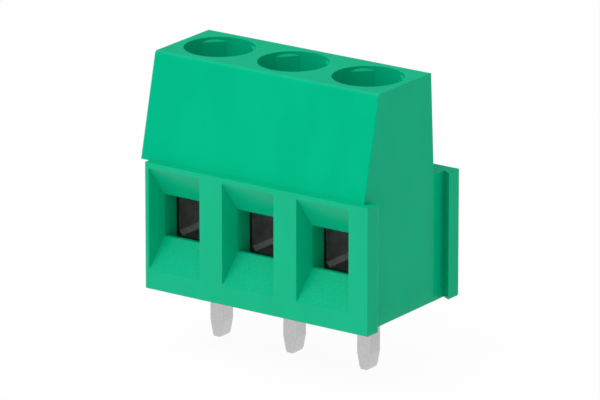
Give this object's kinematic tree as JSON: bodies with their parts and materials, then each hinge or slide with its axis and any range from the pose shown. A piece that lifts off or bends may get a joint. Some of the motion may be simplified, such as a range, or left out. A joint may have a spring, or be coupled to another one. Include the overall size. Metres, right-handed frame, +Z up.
{
  "type": "screw terminal block",
  "caption": "Green screw terminal block for a circuit board, with funnel wire entries in front, slotted clamp screws under round openings on top and square solder pins below.",
  "frame": {"origin": "centre of the middle solder pin, level with the underside that sits on the board", "axes": "+X along the row of poles to the flanged end, +Y from the wire entries to the rear, +Z up to the screw openings"},
  "size_m": [0.0157, 0.0091, 0.0172],
  "materials": {
    "green_moulding": "smooth moulded green polyamide",
    "zinc_plated_screw": "bright zinc plated steel",
    "nickel_plated_cage": "nickel plated steel strip",
    "tinned_contact": "matte tin plated brass strip"
  },
  "bodies": {
    "block": {"housing": "green_moulding", "solder_contact_1": "tinned_contact", "solder_contact_2": "tinned_contact", "solder_contact_3": "tinned_contact"},
    "screw_1": {"clamp_screw_1": "zinc_plated_screw"},
    "cage_1": {"rising_cage_1": "nickel_plated_cage"},
    "screw_2": {"clamp_screw_2": "zinc_plated_screw"},
    "cage_2": {"rising_cage_2": "nickel_plated_cage"},
    "screw_3": {"clamp_screw_3": "zinc_plated_screw"},
    "cage_3": {"rising_cage_3": "nickel_plated_cage"}
  },
  "joints": [
    {"name": "cage_1_rise", "type": "slide", "parent": "block", "child": "cage_1", "axis": [0, 0, 1], "range_m": [0, 0.00275]},
    {"name": "screw_1_turn", "type": "hinge", "parent": "block", "child": "screw_1", "pos_m": [-0.00508, -0.00011, 0], "axis": [0, 0, -1], "range_deg": [0, 2200]},
    {"name": "cage_2_rise", "type": "slide", "parent": "block", "child": "cage_2", "axis": [0, 0, 1], "range_m": [0, 0.00275]},
    {"name": "screw_2_turn", "type": "hinge", "parent": "block", "child": "screw_2", "pos_m": [0, -0.00011, 0], "axis": [0, 0, -1], "range_deg": [0, 2200]},
    {"name": "cage_3_rise", "type": "slide", "parent": "block", "child": "cage_3", "axis": [0, 0, 1], "range_m": [0, 0.00275]},
    {"name": "screw_3_turn", "type": "hinge", "parent": "block", "child": "screw_3", "pos_m": [0.00508, -0.00011, 0], "axis": [0, 0, -1], "range_deg": [0, 2200]}
  ],
  "couplings": [
    {"joint": "screw_1_turn", "follows": "cage_1_rise", "rad_per_m": 13963},
    {"joint": "screw_2_turn", "follows": "cage_2_rise", "rad_per_m": 13963},
    {"joint": "screw_3_turn", "follows": "cage_3_rise", "rad_per_m": 13963}
  ]
}
